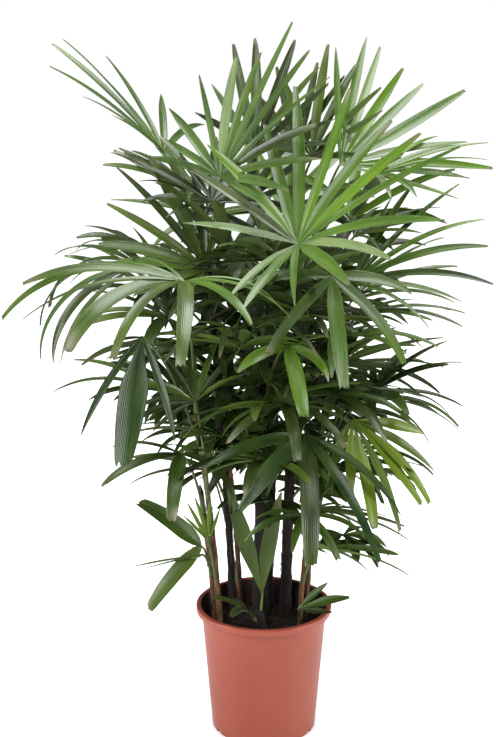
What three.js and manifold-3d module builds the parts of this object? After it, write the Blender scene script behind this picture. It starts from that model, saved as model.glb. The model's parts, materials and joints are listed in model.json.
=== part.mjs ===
// Lady palm: a clump of fibre-clad canes with fan leaves, growing in a plastic nursery pot.
// Millimetres, +Z up. The origin is the centre of the pot's flat underside.
import * as THREE from 'three';
import { mergeVertices } from 'three/addons/utils/BufferGeometryUtils.js';
import Module from 'manifold-3d';

const wasm = await Module();
wasm.setup();

// ---- driving dimensions ----

const CLEARANCE = 0.3;            // gap between pieces that stand on or in one another
const LEAF_CLEARANCE = 0.5;       // gap that each leaf keeps to everything it doesn't spring from

const POT = {
  height: 232, baseRadius: 92, collarRadius: 110, rimRadius: 120, mouthRadius: 111.5,
  wall: 2.6, floor: 3, rimHeight: 15, segments: 48,
};
const DRAIN = { count: 12, width: 13, height: 6, depth: 4.5 };
const SOIL = { top: 190, crown: 2, segments: 32 };

// Canes: foot on the soil, top, and the radius at both ends.
const CANE_FOOT = SOIL.top + SOIL.crown + CLEARANCE;
const CANE_SIDES = 8;
const FLARE = { share: 0.2, height: 18 };   // root flare, as a share of the foot's radius
const CANES = {
  centre:      { foot: [-8, -15], top: [10, 0, 900], radius: [15, 9] },
  left:        { foot: [-55, 20], top: [-100, 40, 850], radius: [7.5, 6] },
  right:       { foot: [39, 28], top: [60, 40, 820], radius: [11.5, 8] },
  left_front:  { foot: [-78, -28], top: [-120, -50, 640], radius: [6, 5] },
  left_low:    { foot: [-88, 12], top: [-112, 6, 450], radius: [5.4, 4.4] },
  right_front: { foot: [62, -42], top: [80, -75, 480], radius: [4.6, 4] },
  back:        { foot: [8, 76], top: [30, 125, 780], radius: [10, 7] },
  back_left:   { foot: [-42, 68], top: [-80, 135, 620], radius: [5.5, 4.5] },
  right_low:   { foot: [76, 36], top: [115, 70, 650], radius: [6, 5] },
  stump:       { foot: [-5, -72], top: [-8, -80, 252], radius: [11, 8] },
};

// Leaves: name, the cane and the height each leaves it at, the hub where the leaflets meet, aim
// (compass angle from +X), rise above level, roll about the aim, number of leaflets, the angle
// they spread over, the longest one's reach, its width, droop, cup, and where it isn't the usual
// share, how much narrower the outermost leaflets are. Angles are in degrees.
const LEAVES = [
  ['front_fan', 'centre', 720, [49, -190, 913], 5, 24, 26, 15, 285, 272, 20, 16, 25],
  ['left_arch', 'left_front', 600, [-126, -230, 863], -125, -8, -3, 10, 235, 252, 25, 58, 14, 0.65],
  ['top_centre', 'centre', 860, [-73, -60, 998], 27, 57, 10, 13, 190, 248, 18, 10, 6],
  ['top_right', 'right', 780, [124, 20, 1006], 55, 10, 45, 10, 115, 280, 19, 3, 20],
  ['top_left', 'left', 800, [-169, 60, 1022], 160, 30, 6, 8, 145, 264, 16, 18, 17],
  ['left_broad', 'left_front', 520, [-194, -190, 766], -98, -55, -12, 3, 66, 225, 50, 35, 4, 0.75],
  ['front_broad', 'right_front', 440, [64, -160, 596], -95, -25, -18, 5, 118, 250, 33, 44, 5],
  ['pale_right', 'right_front', 462, [144, -100, 601], -45, -50, 4, 8, 128, 192, 25, 24, 10],
  ['far_left', 'left', 590, [-211, 30, 835], -190, -3, -23, 8, 105, 278, 18, 68, 4],
  ['top_back', 'back', 740, [57, 150, 1014], 60, 50, -10, 8, 190, 175, 20, 4, 24],
  ['left_upper', 'left', 720, [-96, -40, 842], -173, 35, -50, 9, 140, 205, 21, 12, 12],
  ['right_up', 'right', 670, [146, -10, 813], 0, 24, 40, 8, 98, 236, 12, 30, 14],
  ['right_low', 'right_low', 440, [139, 20, 596], -15, 0, -5, 8, 160, 232, 14, 51, 15],
  ['right_dark', 'right', 560, [124, -20, 673], -3, -4, -50, 10, 140, 175, 14, 34, 13],
  ['right_mid', 'right', 610, [139, 60, 736], -12, 10, -5, 8, 120, 200, 14, 37, 8],
  ['mid_left', 'left_front', 440, [-114, -140, 644], 115, 18, -30, 9, 190, 128, 16, 38, 16],
  ['low_left', 'left_low', 400, [-138, -120, 548], -88, -12, -4, 5, 230, 168, 26, 76, 12, 0.6],
  ['left_dark', 'left', 650, [-113, 130, 809], 145, 1, 13, 8, 125, 240, 15, 40, 17],
  ['sucker_left', 'left_low', 280, [-108, -60, 362], -178, -6, -50, 2, 84, 190, 15, 16, 4, -1],
  ['sucker_young', 'left_front', 250, [-97, -45, 364], 235, 76, 38, 5, 60, 87, 9, 6, 10],
  ['vee', 'stump', 232, [-4, -85, 284], 130, 82, -60, 2, 23, 300, 33, 5, 8, 0.1],
  ['hanger', 'right', 720, [104, -170, 858], -92, -52, 0, 5, 180, 195, 26, 35, 7],
  ['front_stub', 'centre', 600, [34, -200, 752], -80, -30, 0, 3, 130, 130, 24, 75, 6],
  ['low_right', 'right_front', 290, [91, -90, 371], -12, -22, -10, 6, 155, 154, 20, 28, 22],
  ['low_right_back', 'right_low', 290, [95, 20, 402], -8, -16, -30, 6, 145, 158, 14, 24, 10],
  ['inner_upper', 'centre', 640, [-45, -120, 760], -60, 10, 0, 7, 210, 190, 19, 48, 14],
  ['pale_fan', 'right_front', 350, [66, -130, 445], -90, -10, 0, 6, 220, 120, 17, 60, 10],
  ['pot_side', 'right_front', 222, [58, -70, 250], 0, 16, 40, 3, 50, 86, 20, 8, 10],
  ['pot_front', 'stump', 216, [-32, -100, 262], -160, 20, 0, 4, 170, 70, 16, 30, 10],
  ['inner_front', 'centre', 500, [-5, -120, 630], -45, 15, 0, 8, 250, 190, 18, 38, 14],
  ['inner_left', 'centre', 430, [-65, -70, 560], -120, 10, 0, 7, 240, 165, 18, 40, 14],
  ['inner_right', 'centre', 410, [45, -80, 535], -30, 5, 0, 7, 240, 175, 18, 45, 14],
];

// Smaller leaves inside the clump, each sharing the sheath of the leaf named first.
const GUESTS = [
  ['left_upper', [-64, -60, 797], -100, 12, -8, 8, 230, 185, 19, 45, 12],
  ['inner_upper', [10, -60, 860], -70, 25, 0, 8, 220, 185, 18, 35, 12],
  ['right_mid', [118, -70, 735], -60, 5, 0, 7, 200, 180, 18, 50, 12],
  ['inner_front', [-2, -175, 555], -95, 5, 0, 7, 220, 165, 20, 55, 12],
  ['right_low', [120, -45, 530], -40, 0, 0, 7, 190, 170, 16, 48, 12],
  ['left_dark', [-55, 60, 740], 120, 10, 0, 8, 230, 180, 17, 42, 12],
  ['far_left', [-160, -40, 760], 190, 8, -10, 7, 180, 175, 21, 48, 12],
  ['right_up', [150, 30, 885], 15, 12, 5, 7, 150, 150, 16, 32, 14],
  ['top_centre', [-15, 40, 1030], 40, 60, 20, 9, 150, 185, 16, 6, 10],
  ['top_back', [80, 85, 1010], 50, 55, 0, 8, 170, 190, 17, 5, 10],
  ['top_left', [-125, 20, 960], 175, 20, 0, 8, 170, 165, 17, 24, 14],
  ['inner_upper', [-35, -40, 810], -110, 20, 0, 8, 230, 175, 18, 45, 14],
  ['hanger', [70, -110, 770], -80, 10, 0, 7, 210, 180, 17, 50, 12],
  ['front_stub', [28, -150, 640], -85, 0, 0, 7, 200, 165, 20, 55, 10],
  ['left_upper', [-95, 5, 690], -140, 5, 0, 8, 230, 170, 16, 42, 14],
  ['right_dark', [112, -80, 640], -60, -5, 0, 7, 200, 165, 17, 45, 12],
  ['inner_left', [-36, -120, 545], -110, 0, 0, 7, 210, 150, 19, 50, 12],
  ['top_right', [182, 20, 990], -8, 10, 12, 8, 140, 182, 15, 30, 12],
  ['top_left', [-87, -20, 950], 120, 35, 0, 8, 200, 160, 17, 24, 14],
  ['top_centre', [-25, 60, 941], 60, 45, 0, 8, 200, 170, 17, 20, 12],
  ['sucker_left', [-112, -78, 352], -178, -14, 0, 2, 12, 150, 10, 8, 4],
];

// Leaves on the far side, in storeys that each share their sizes and step round the clump.
const BACK_STOREYS = [
  { height: 420, out: 145, from: 35, step: 48, count: 3, rise: 5, reach: 175, width: 18, droop: 40 },
  { height: 575, out: 190, from: 22, step: 44, count: 4, rise: 8, reach: 210, width: 20, droop: 50 },
  { height: 735, out: 205, from: 40, step: 35, count: 4, rise: 20, reach: 225, width: 21, droop: 45 },
  { height: 890, out: 175, from: 30, step: 48, count: 3, rise: 38, reach: 215, width: 21, droop: 28 },
];
const BACK_LEAF = {
  count: 7, spread: 200, cup: 15, roll: 12, behind: 60, petioleDrop: 160, belowTop: 20, stagger: 25,
};

// Shape of a leaf, as shares of a leaflet's length, its width or the angle to the next one.
const WEB = 0.11;                 // how far out the leaflets part
const HUB = { top: 1.5, keel: 5 };
const THICKNESS = 0.0125;
const SLIM = 0.3;                 // how much narrower the outermost leaflets are
const SHORT = 0.25;               // and how much shorter
const UNEVEN = { turn: 0.2, length: 0.12, droop: 0.4, width: 0.18 };
const TIP = { outer: 0.1, usual: 0.28, hanging: 0.6 };
const SPINE_STEPS = 24;
const PETIOLE = { radius: 2.8, sides: 3, steps: 4, lift: 0.22, sheath: 0.2 };

const COLOURS = { pot: 0xb8654e, soil: 0x2a211c, cane: 0x3b2c20, leaf: 0x3f6b34 };

// ---- vectors and solids ----

const vec = (x, y, z) => new THREE.Vector3(x, y, z);
const cross = (a, b) => vec(0, 0, 0).crossVectors(a, b);
const rad = THREE.MathUtils.degToRad;
const lerp = THREE.MathUtils.lerp;

// Sum of vectors, given as [weight, vector] pairs.
function combine(...terms) {
  const sum = vec(0, 0, 0);
  for (const [weight, vector] of terms) sum.addScaledVector(vector, weight);
  return sum;
}

// A repeatable number from -1 to 1 for one leaflet of one leaf.
function jitter(seed, index, channel) {
  const wave = Math.sin(seed * 12.9898 + index * 78.233 + channel * 37.719) * 43758.5453;
  return (wave - Math.floor(wave)) * 2 - 1;
}

function solidFromArrays(vertProperties, triVerts) {
  return new wasm.Manifold(new wasm.Mesh({ numProp: 3, vertProperties, triVerts }));
}

function solidFromMesh({ points, triangles }) {
  const coordinates = points.flatMap((point) => point.toArray());
  return solidFromArrays(Float32Array.from(coordinates), Uint32Array.from(triangles.flat()));
}

function solidFromGeometry(geometry) {
  const bare = geometry.index ? geometry.toNonIndexed() : geometry.clone();
  bare.deleteAttribute('normal');
  bare.deleteAttribute('uv');
  const merged = mergeVertices(bare, 1e-3);
  const corners = Array.from(merged.index.array);
  const triangles = [];
  for (let i = 0; i < corners.length; i += 3) {
    const triangle = corners.slice(i, i + 3);
    if (new Set(triangle).size === 3) triangles.push(...triangle);
  }
  return solidFromArrays(Float32Array.from(merged.attributes.position.array), Uint32Array.from(triangles));
}

function geometryFromSolid(solid) {
  const { vertProperties, triVerts } = solid.getMesh();
  const geometry = new THREE.BufferGeometry();
  geometry.setAttribute('position', new THREE.BufferAttribute(vertProperties, 3));
  geometry.setIndex(new THREE.BufferAttribute(triVerts, 1));
  geometry.computeVertexNormals();
  return geometry;
}

// What later pieces have to keep clear of, each with its owner's name.
const placed = [];

function place(solid, owner) {
  placed.push({ solid, owner, box: solid.boundingBox() });
}

function meets(a, b) {
  const shared = a.intersect(b);
  const touching = !shared.isEmpty();
  shared.delete();
  return touching;
}

function isClear(candidate, exempt) {
  const box = candidate.boundingBox();
  const isNear = (other) => [0, 1, 2].every((k) => box.min[k] < other.max[k] && other.min[k] < box.max[k]);
  return placed.every(({ solid, owner, box: other }) => (
    exempt.includes(owner) || !isNear(other) || !meets(candidate, solid)
  ));
}

// ---- pot and soil ----

function turned(profile, segments) {
  const points = profile.map(([radius, height]) => new THREE.Vector2(radius, height));
  const geometry = new THREE.LatheGeometry(points, segments);
  geometry.rotateX(Math.PI / 2);
  return solidFromGeometry(geometry);
}

const collarHeight = POT.height - POT.rimHeight;

// Radius of the pot's outside below its rim.
const potRadius = (z) => lerp(POT.baseRadius, POT.collarRadius, z / collarHeight);

function makePot() {
  const { height, rimRadius, mouthRadius, wall, floor } = POT;
  let pot = turned([
    [0, 0],
    [potRadius(0) - 2, 0],
    [potRadius(2), 2],
    [potRadius(collarHeight), collarHeight],
    [rimRadius - 2, collarHeight + 1],
    [rimRadius - 0.8, collarHeight + 3],
    [rimRadius, height - 4],
    [rimRadius - 0.8, height - 1.5],
    [rimRadius - 2.5, height],
    [mouthRadius + 1.5, height],
    [mouthRadius, height - 1.5],
    [potRadius(collarHeight) - wall, collarHeight - 6],
    [potRadius(floor) - wall, floor],
    [0, floor],
  ], POT.segments);
  for (let i = 0; i < DRAIN.count; i++) {
    const notch = new THREE.BoxGeometry(2 * DRAIN.depth, DRAIN.width, 2 * DRAIN.height);
    notch.translate(POT.baseRadius, 0, 0);
    notch.rotateZ(2 * Math.PI * i / DRAIN.count);
    pot = pot.subtract(solidFromGeometry(notch));
  }
  return pot;
}

function makeSoil() {
  const bottom = POT.floor + CLEARANCE;
  const edge = (z) => potRadius(z) - POT.wall - 1.5;
  return turned([
    [0, bottom],
    [edge(bottom), bottom],
    [edge(SOIL.top), SOIL.top - 3],
    [edge(SOIL.top) - 8, SOIL.top],
    [edge(SOIL.top) - 14, SOIL.top + SOIL.crown],
    [0, SOIL.top + SOIL.crown],
  ], SOIL.segments);
}

// ---- canes ----

function canePoint({ foot, top }, z) {
  const share = Math.max(0, (z - CANE_FOOT) / (top[2] - CANE_FOOT)) ** 1.4;
  return vec(lerp(foot[0], top[0], share), lerp(foot[1], top[1], share), z);
}

function caneRadius({ top, radius }, z) {
  const share = (z - CANE_FOOT) / (top[2] - CANE_FOOT);
  const flare = FLARE.share * radius[0] * Math.exp((CANE_FOOT - z) / FLARE.height);
  return lerp(radius[0], radius[1], share) + flare;
}

// A cane as level rings, so that its foot is a flat cut; `grow` widens it all round.
function makeCane(cane, grow = 0) {
  const top = cane.top[2];
  const height = top - CANE_FOOT;
  const levels = height > 200 ? [0, 14, 40] : [0, 14];
  const upper = height > 200 ? 4 : 1;
  const base = levels.at(-1);
  for (let i = 1; i <= upper; i++) levels.push(lerp(base, height - 6, i / upper));
  const rings = levels.map((level) => {
    const z = CANE_FOOT + level;
    return { centre: canePoint(cane, z), radius: caneRadius(cane, z) + grow };
  });
  rings[0].centre.z -= grow;
  rings.push({ centre: canePoint(cane, top + grow), radius: 0.45 * cane.radius[1] + grow });
  const points = [];
  for (const { centre, radius } of rings) {
    for (let k = 0; k < CANE_SIDES; k++) {
      const turn = 2 * Math.PI * k / CANE_SIDES;
      points.push(combine([1, centre], [radius, vec(Math.cos(turn), Math.sin(turn), 0)]));
    }
  }
  const triangles = [];
  const last = (rings.length - 1) * CANE_SIDES;
  for (let first = 0; first < last; first += CANE_SIDES) {
    for (let k = 0; k < CANE_SIDES; k++) {
      const [a, b] = [first + k, first + (k + 1) % CANE_SIDES];
      triangles.push([a, b, b + CANE_SIDES], [a, b + CANE_SIDES, a + CANE_SIDES]);
    }
  }
  for (let k = 1; k < CANE_SIDES - 1; k++) triangles.push([0, k + 1, k], [last, last + k, last + k + 1]);
  return solidFromMesh({ points, triangles });
}

// ---- leaves ----

// The leaf's own directions: forward along the middle leaflet, normal out of its upper face.
function leafFrame({ aim, rise, roll }) {
  const [a, r, q] = [rad(aim), rad(rise), rad(roll)];
  const forward = vec(Math.cos(a) * Math.cos(r), Math.sin(a) * Math.cos(r), Math.sin(r));
  const up = vec(-Math.cos(a) * Math.sin(r), -Math.sin(a) * Math.sin(r), Math.cos(r));
  const normal = combine([Math.cos(q), up], [Math.sin(q), cross(forward, up)]);
  return { forward, normal, side: cross(forward, normal) };
}

// Direction in the leaf's shallow funnel, at an angle from its forward direction.
function fanDirection({ frame, cup }, degrees) {
  const flat = combine([Math.cos(rad(degrees)), frame.forward], [Math.sin(rad(degrees)), frame.side]);
  return combine([Math.cos(rad(cup)), flat], [Math.sin(rad(cup)), frame.normal]).normalize();
}

// Share of the full width at s along a leaflet, which narrows to `tip` of it at the end.
function widthShare(s, tip) {
  const root = 0.3 + 0.7 * Math.sin(Math.min(1, s / 0.32) * Math.PI / 2);
  return s < 0.5 ? root : root * (1 - (1 - tip) * ((s - 0.5) / 0.5) ** 2);
}

// The midline of one leaflet, as stations that bend down under its own weight. `change` turns
// it by a share of the angle to the next one, and scales its droop.
function leafletSpine(leaf, i, change) {
  const { seed, hub, frame, count, spread, reach, width, droop, slim = SLIM } = leaf;
  const offset = 2 * i / (count - 1) - 1;
  const pitch = spread / (count - 1);
  const turn = UNEVEN.turn * jitter(seed, i, 1) + change.turn;
  const out = fanDirection(leaf, offset * spread / 2 + pitch * turn);
  const face = combine([1, frame.normal], [-frame.normal.dot(out), out]).normalize();
  const across = cross(out, face);
  const length = reach * (1 - SHORT * offset ** 2) * (1 + UNEVEN.length * jitter(seed, i, 2));
  const fall = combine([1, vec(0, 0, -1)], [out.z, out]);
  const leverage = fall.length();
  fall.divideScalar(leverage);
  const axle = cross(out, fall);
  const bend = rad(droop) * leverage * change.droop * (1 + UNEVEN.droop * jitter(seed, i, 3));
  const full = width / 2 * (1 - slim * offset ** 2) * (1 + UNEVEN.width * jitter(seed, i, 4));
  const hangs = Math.cos(bend) * out.z + Math.sin(bend) * fall.z < -0.75;
  const tip = Math.abs(offset) > 0.6 ? TIP.outer : hangs ? TIP.hanging : TIP.usual;
  const position = hub.clone();
  const stations = [];
  for (let step = 0; step <= SPINE_STEPS; step++) {
    const s = step / SPINE_STEPS;
    if (step > 0) {
      const lean = bend * ((step - 0.5) / SPINE_STEPS) ** 1.5;
      position.addScaledVector(out, length / SPINE_STEPS * Math.cos(lean));
      position.addScaledVector(fall, length / SPINE_STEPS * Math.sin(lean));
    }
    const angle = bend * s ** 1.5;
    const along = combine([Math.cos(angle), out], [Math.sin(angle), fall]);
    const swung = combine([-Math.sin(angle), out], [Math.cos(angle), fall]);
    const sideways = combine([across.dot(fall), swung], [across.dot(axle), axle]);
    const room = Math.max(1.5, 0.85 * s * length * Math.tan(rad(pitch) / 2));
    const half = Math.min(full * widthShare(s, tip), room);
    stations.push({ position: position.clone(), along, sideways, normal: cross(sideways, along), half });
  }
  return { stations, bend, tip, depth: THICKNESS * length };
}

// Stations that carry a ring: more of them where the leaflet bends further.
function ringSteps(bend) {
  if (bend > rad(55)) return [7, 12, 18, 24];
  if (bend > rad(25)) return [8, 16, 24];
  return [10, 24];
}

// Corners of a leaflet's section: its two edges, and the keel below them.
function section({ position, sideways, normal, half }, depth, grow) {
  return [
    combine([1, position], [-half - grow, sideways], [grow, normal]),
    combine([1, position], [half + grow, sideways], [grow, normal]),
    combine([1, position], [-depth - grow, normal]),
  ];
}

function addRing(mesh, [a, b, keel], corners) {
  const nextA = mesh.points.length;
  const [nextB, nextKeel] = [nextA + 1, nextA + 2];
  mesh.points.push(...corners);
  mesh.triangles.push(
    [a, b, nextB], [a, nextB, nextA],
    [a, nextA, nextKeel], [a, nextKeel, keel],
    [b, keel, nextKeel], [b, nextKeel, nextB],
  );
  return [nextA, nextB, nextKeel];
}

// Lays a leaflet onto a mesh that already holds its root ring, up to a point or a cut tip.
function addLeaflet(mesh, root, spine, grow = 0) {
  const { stations, bend, tip, depth } = spine;
  let ring = root;
  for (const step of ringSteps(bend).slice(0, -1)) {
    ring = addRing(mesh, ring, section(stations[step], depth, grow));
  }
  const end = stations[SPINE_STEPS];
  if (tip > TIP.outer) {
    mesh.triangles.push(addRing(mesh, ring, section(end, depth / 2, grow)));
    return;
  }
  const point = mesh.points.push(combine([1, end.position], [grow, end.along])) - 1;
  const [a, b, keel] = ring;
  mesh.triangles.push([a, b, point], [a, point, keel], [b, keel, point]);
}

// One leaflet alone, to find out what it would touch: from its root, or from a station on.
function leafletProbe(leaf, i, spine, grow, station) {
  const root = station ? spine.stations[station] : rootSection(leaf, i);
  const mesh = { points: section(root, spine.depth, grow), triangles: [[1, 0, 2]] };
  addLeaflet(mesh, [0, 1, 2], spine, grow);
  return solidFromMesh(mesh);
}

// The point at the web's edge before leaflet i, where it parts from the one before it.
function notch(leaf, i) {
  const { hub, count, spread, reach } = leaf;
  const share = THREE.MathUtils.clamp(i - 0.5, -0.35, count - 0.65);
  return combine([1, hub], [WEB * reach, fanDirection(leaf, share * spread / (count - 1) - spread / 2)]);
}

function rootSection(leaf, i) {
  const [a, b] = [notch(leaf, i), notch(leaf, i + 1)];
  const across = combine([1, b], [-1, a]);
  const half = across.length() / 2;
  const position = combine([0.5, a], [0.5, b]);
  return { position, sideways: across.normalize(), normal: leaf.frame.normal, half };
}

// The blade as one closed mesh: web round the hub, cut into leaflets beyond it. A leaflet with
// no spine is left out, and its root is closed.
function bladeSolid(leaf, spines) {
  const { hub, frame, count, reach } = leaf;
  const mesh = { points: [], triangles: [] };
  const add = (...terms) => mesh.points.push(combine(...terms)) - 1;
  const top = add([1, hub], [HUB.top, frame.normal]);
  const bottom = add([1, hub], [-HUB.keel, frame.normal]);
  const notches = Array.from({ length: count + 1 }, (_, i) => add([1, notch(leaf, i)]));
  for (let i = 0; i < count; i++) {
    const [a, b] = [notches[i], notches[i + 1]];
    const keel = add([1, rootSection(leaf, i).position], [-THICKNESS * reach, frame.normal]);
    mesh.triangles.push([top, b, a], [bottom, a, keel], [bottom, keel, b]);
    if (spines[i]) addLeaflet(mesh, [a, b, keel], spines[i]);
    else mesh.triangles.push([a, b, keel]);
  }
  mesh.triangles.push([top, notches[0], bottom], [top, bottom, notches[count]]);
  return solidFromMesh(mesh);
}

// The petiole's midline: it rises from the cane's heart, or from the sheath that the leaf
// shares with its host, and arches over to the hub.
function petioleCurve({ host, cane, at, hub, frame }) {
  const start = host ? petioleCurve(host).getPoint(PETIOLE.sheath) : canePoint(CANES[cane], at);
  const end = combine([1, hub], [-HUB.keel / 3, frame.normal]);
  const lift = vec(0, 0, PETIOLE.lift * start.distanceTo(end));
  const bow = combine([0.5, start], [0.5, end], [1, lift]);
  return new THREE.QuadraticBezierCurve3(start, bow, end);
}

// The petiole as a slim rod, cut off just clear of its cane.
function petioleSolid(leaf) {
  const corners = Array.from({ length: PETIOLE.sides }, (_, k) => {
    const turn = 2 * Math.PI * k / PETIOLE.sides;
    return new THREE.Vector2(Math.cos(turn), Math.sin(turn)).multiplyScalar(PETIOLE.radius);
  });
  const options = { steps: PETIOLE.steps, bevelEnabled: false, extrudePath: petioleCurve(leaf) };
  const rod = solidFromGeometry(new THREE.ExtrudeGeometry(new THREE.Shape(corners), options));
  return rod.subtract(makeCane(CANES[leaf.cane], 1.4 * CLEARANCE));
}

function backLeaves() {
  return BACK_STOREYS.flatMap((storey, level) => Array.from({ length: storey.count }, (_, i) => {
    const { out, height, rise, reach, width, droop } = storey;
    const aim = storey.from + i * storey.step;
    const cane = aim < 60 ? 'right_low' : aim < 115 ? 'back' : 'back_left';
    const highest = CANES[cane].top[2] - BACK_LEAF.belowTop;
    const name = `back_${level + 1}_${i + 1}`;
    const hub = [out * Math.cos(rad(aim)), BACK_LEAF.behind + out * Math.sin(rad(aim)), height];
    const at = Math.min(height - BACK_LEAF.petioleDrop, highest) - BACK_LEAF.stagger * i;
    const roll = BACK_LEAF.roll * jitter(level, i, 5);
    return { ...BACK_LEAF, name, cane, at, hub, aim, rise, roll, reach, width, droop };
  }));
}

function describeLeaves() {
  const shape = ([hub, aim, rise, roll, count, spread, reach, width, droop, cup, slim]) => (
    { hub, aim, rise, roll, count, spread, reach, width, droop, cup, slim }
  );
  const leaves = LEAVES.map(([name, cane, at, ...rest]) => ({ name, cane, at, ...shape(rest) }));
  leaves.push(...backLeaves());
  for (const leaf of leaves) leaf.node = `leaf_${leaf.name}`;
  for (const [hostName, ...rest] of GUESTS) {
    const host = leaves.find((leaf) => leaf.name === hostName);
    leaves.push({ name: `guest_${leaves.length}`, host, cane: host.cane, node: host.node, ...shape(rest) });
  }
  leaves.forEach((leaf, seed) => {
    Object.assign(leaf, { seed, hub: vec(...leaf.hub), frame: leafFrame(leaf) });
  });
  return leaves;
}

// Ways to move a leaflet that is in something's way.
const LEAFLET_CHANGES = [
  { turn: 0, droop: 1 }, { turn: 0.15, droop: 1 }, { turn: -0.15, droop: 1 },
  { turn: 0, droop: 1.2 }, { turn: 0, droop: 0.8 }, { turn: 0.2, droop: 1.25 },
  { turn: -0.2, droop: 1.25 }, { turn: 0.2, droop: 0.7 }, { turn: -0.2, droop: 0.7 },
];
const OUTER_STATION = 6;          // beyond it a leaflet has to clear its own leaf's others too

// The leaf's leaflets, one by one; where every way is blocked, the leaflet is left out.
function growBlade(leaf) {
  const outers = [];
  const spines = Array.from({ length: leaf.count }, (_, i) => {
    for (const change of LEAFLET_CHANGES) {
      const spine = leafletSpine(leaf, i, change);
      const outer = leafletProbe(leaf, i, spine, LEAF_CLEARANCE, OUTER_STATION);
      if (outers.some((other) => meets(outer, other))) continue;
      if (!isClear(leafletProbe(leaf, i, spine, LEAF_CLEARANCE), [leaf.name])) continue;
      outers.push(leafletProbe(leaf, i, spine, 0, OUTER_STATION));
      place(leafletProbe(leaf, i, spine, 0), leaf.name);
      return spine;
    }
    return null;
  });
  return bladeSolid(leaf, spines);
}

// ---- assembly ----

const plant = new THREE.Group();

function addNode(name, solid, color, roughness) {
  const mesh = new THREE.Mesh(
    geometryFromSolid(solid),
    new THREE.MeshStandardMaterial({ color, roughness, metalness: 0 }),
  );
  mesh.name = name;
  plant.add(mesh);
}

const pot = makePot();
const soil = makeSoil();
place(pot, 'pot');
place(soil, 'soil');
addNode('pot', pot, COLOURS.pot, 0.5);
addNode('soil', soil, COLOURS.soil, 0.95);

for (const [name, cane] of Object.entries(CANES)) {
  const solid = makeCane(cane);
  place(solid, name);
  addNode(`cane_${name}`, solid, COLOURS.cane, 0.9);
}

// All petioles and hubs are placed before any leaflet, so that leaflets give way to them.
const leaves = describeLeaves();
const petioles = leaves.map(petioleSolid);
leaves.forEach((leaf, i) => place(petioles[i].add(bladeSolid(leaf, [])), leaf.name));
const leafSolids = new Map();
leaves.forEach((leaf, i) => {
  const solid = petioles[i].add(growBlade(leaf));
  leafSolids.set(leaf.node, leafSolids.get(leaf.node)?.add(solid) ?? solid);
});
for (const [node, solid] of leafSolids) addNode(node, solid, COLOURS.leaf, 0.5);

export default plant;
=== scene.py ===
import json
import math
import bpy
from mathutils import Matrix, Vector
from mathutils.kdtree import KDTree

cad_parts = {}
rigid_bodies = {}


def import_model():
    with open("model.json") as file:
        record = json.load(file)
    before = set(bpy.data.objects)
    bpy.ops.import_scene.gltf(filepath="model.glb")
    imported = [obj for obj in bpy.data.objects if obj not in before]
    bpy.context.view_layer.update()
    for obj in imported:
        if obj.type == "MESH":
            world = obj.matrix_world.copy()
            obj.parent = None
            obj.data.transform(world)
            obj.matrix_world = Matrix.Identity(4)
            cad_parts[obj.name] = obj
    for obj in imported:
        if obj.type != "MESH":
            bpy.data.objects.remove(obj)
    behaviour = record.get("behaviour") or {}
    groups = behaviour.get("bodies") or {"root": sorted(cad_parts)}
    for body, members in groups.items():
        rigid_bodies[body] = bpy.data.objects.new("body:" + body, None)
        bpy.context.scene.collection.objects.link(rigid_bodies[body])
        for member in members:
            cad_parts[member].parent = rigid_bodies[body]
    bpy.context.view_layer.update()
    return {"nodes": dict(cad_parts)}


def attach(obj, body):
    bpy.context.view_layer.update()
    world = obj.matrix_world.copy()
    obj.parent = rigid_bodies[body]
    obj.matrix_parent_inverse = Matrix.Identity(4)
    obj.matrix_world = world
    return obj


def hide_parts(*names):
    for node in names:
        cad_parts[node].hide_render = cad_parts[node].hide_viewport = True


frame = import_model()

# Lady palm in a nursery pot. Sizes are written in millimetres, as in the part, and the meshes are
# made in metres.
scene = bpy.context.scene
mm = 0.001
up = Vector((0, 0, 1))


def rgb(red, green, blue):
    # screen colour, 0 to 255, to the linear colour that the shaders take
    shares = [c / 255 for c in (red, green, blue)]
    return (*[s / 12.92 if s <= 0.04045 else ((s + 0.055) / 1.055) ** 2.4 for s in shares], 1)


def mix(a, b, share):
    return a + (b - a) * share


def mixColours(a, b, share):
    return tuple(mix(x, y, share) for x, y in zip(a, b))


def wobble(seed, index, channel):
    # repeatable number from -1 to 1
    wave = math.sin(seed * 12.9898 + index * 78.233 + channel * 37.719) * 43758.5453
    return (wave - math.floor(wave)) * 2 - 1


def around(turn, radius, height):
    return Vector((radius * math.cos(turn), radius * math.sin(turn), height))


def newObject(name, data):
    made = bpy.data.objects.new(name, data)
    scene.collection.objects.link(made)
    return made


def addNode(tree, kind, links=None, **settings):
    # a link or a fixed value for each socket named; a node stands for its first output
    node = tree.nodes.new(kind)
    for key, value in settings.items():
        setattr(node, key, value)
    for socket, source in (links or {}).items():
        if isinstance(source, bpy.types.Node):
            source = source.outputs[0]
        if isinstance(source, bpy.types.NodeSocket):
            tree.links.new(source, node.inputs[socket])
        else:
            node.inputs[socket].default_value = source
    return node


def calc(tree, operation, a, b=0.0, c=0.0):
    return addNode(tree, "ShaderNodeMath", {0: a, 1: b, 2: c}, operation=operation).outputs[0]


def remap(tree, value, fromMin, fromMax, toMin=0.0, toMax=1.0):
    sizes = {"Value": value, "From Min": fromMin, "From Max": fromMax, "To Min": toMin, "To Max": toMax}
    return addNode(tree, "ShaderNodeMapRange", sizes).outputs[0]


def mixNode(tree, share, first, second):
    colours = {"Factor": share, "A": first, "B": second}
    return addNode(tree, "ShaderNodeMix", colours, data_type="RGBA").outputs["Result"]


def objectPlace(tree):
    return addNode(tree, "ShaderNodeTexCoord").outputs["Object"]


def calcVector(tree, operation, a, b=None, scale=None):
    sources = {0: a, 1: b, "Scale": scale}
    links = {socket: source for socket, source in sources.items() if source is not None}
    return addNode(tree, "ShaderNodeVectorMath", links, operation=operation).outputs[0]


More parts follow.
